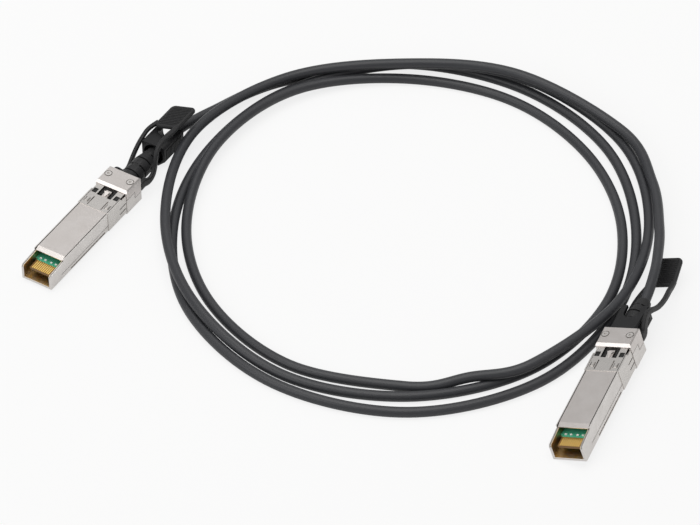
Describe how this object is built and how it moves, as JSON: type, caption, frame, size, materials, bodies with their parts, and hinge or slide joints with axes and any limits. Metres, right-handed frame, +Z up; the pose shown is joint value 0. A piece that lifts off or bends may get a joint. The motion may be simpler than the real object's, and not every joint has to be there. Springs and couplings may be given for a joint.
{
  "type": "direct attach copper cable",
  "caption": "Coiled direct attach copper cable with a small pluggable metal module at each end, pull-tab release straps, ribbed boots and sliding grip sleeves",
  "frame": {"origin": "On the surface the cable lies on, under the middle of the box round everything but the free cable", "axes": "+X runs from the first plug's side of the coil to the second plug's, +Y away from the open ends of the plugs, +Z up"},
  "size_m": [0.2499, 0.2231, 0.0165],
  "materials": {
    "cast_metal": "satin nickel over zinc casting",
    "spring_sheet": "satin stamped spring sheet",
    "laminate": "green solder mask",
    "gold_plating": "gold plating",
    "component_body": "ceramic and moulded chip bodies",
    "wire_insulation": "clear white insulation",
    "clamp_resin": "ivory moulding",
    "ferrule_brass": "plain brass",
    "slider_resin": "black moulding",
    "spring_wire": "drawn wire",
    "tab_rubber": "soft matt moulding",
    "boot_rubber": "soft matt moulding",
    "sleeve_resin": "smooth satin moulding",
    "cable_sheath": "smooth extruded jacket"
  },
  "bodies": {
    "plugs_and_cable": {"lower_shell_a": "cast_metal", "upper_cover_a": "cast_metal", "head_cap_a": "cast_metal", "spring_collar_a": "spring_sheet", "head_rivets_a": "cast_metal", "circuit_board_a": "laminate", "contact_pads_a": "gold_plating", "board_components_a": "component_body", "wire_pairs_a": "wire_insulation", "wire_clamp_a": "clamp_resin", "crimp_ferrule_a": "ferrule_brass", "cable_boot_a": "boot_rubber", "lower_shell_b": "cast_metal", "upper_cover_b": "cast_metal", "head_cap_b": "cast_metal", "spring_collar_b": "spring_sheet", "head_rivets_b": "cast_metal", "circuit_board_b": "laminate", "contact_pads_b": "gold_plating", "board_components_b": "component_body", "wire_pairs_b": "wire_insulation", "wire_clamp_b": "clamp_resin", "crimp_ferrule_b": "ferrule_brass", "cable_boot_b": "boot_rubber", "cable_jacket": "cable_sheath"},
    "release_a": {"release_slider_a": "slider_resin", "return_springs_a": "spring_wire", "tab_pins_a": "spring_wire", "pull_tab_a": "tab_rubber"},
    "release_b": {"release_slider_b": "slider_resin", "return_springs_b": "spring_wire", "tab_pins_b": "spring_wire", "pull_tab_b": "tab_rubber"},
    "sleeve_a": {"grip_sleeve_a": "sleeve_resin"},
    "sleeve_b": {"grip_sleeve_b": "sleeve_resin"}
  },
  "joints": [
    {"name": "release_a_pull", "type": "slide", "parent": "plugs_and_cable", "child": "release_a", "axis": [0.518, 0.8554, 0], "range_m": [0, 0.002], "stiffness_N_per_m": 400, "springref_m": -0.001},
    {"name": "release_b_pull", "type": "slide", "parent": "plugs_and_cable", "child": "release_b", "axis": [0.3954, 0.9181, 0.0262], "range_m": [0, 0.002], "stiffness_N_per_m": 400, "springref_m": -0.001},
    {"name": "sleeve_a_slide", "type": "slide", "parent": "plugs_and_cable", "child": "sleeve_a", "axis": [0.518, 0.8554, 0], "range_m": [-0.019, 0]},
    {"name": "sleeve_b_slide", "type": "slide", "parent": "plugs_and_cable", "child": "sleeve_b", "axis": [0.3954, 0.9181, 0.0262], "range_m": [0, 0.011]}
  ]
}
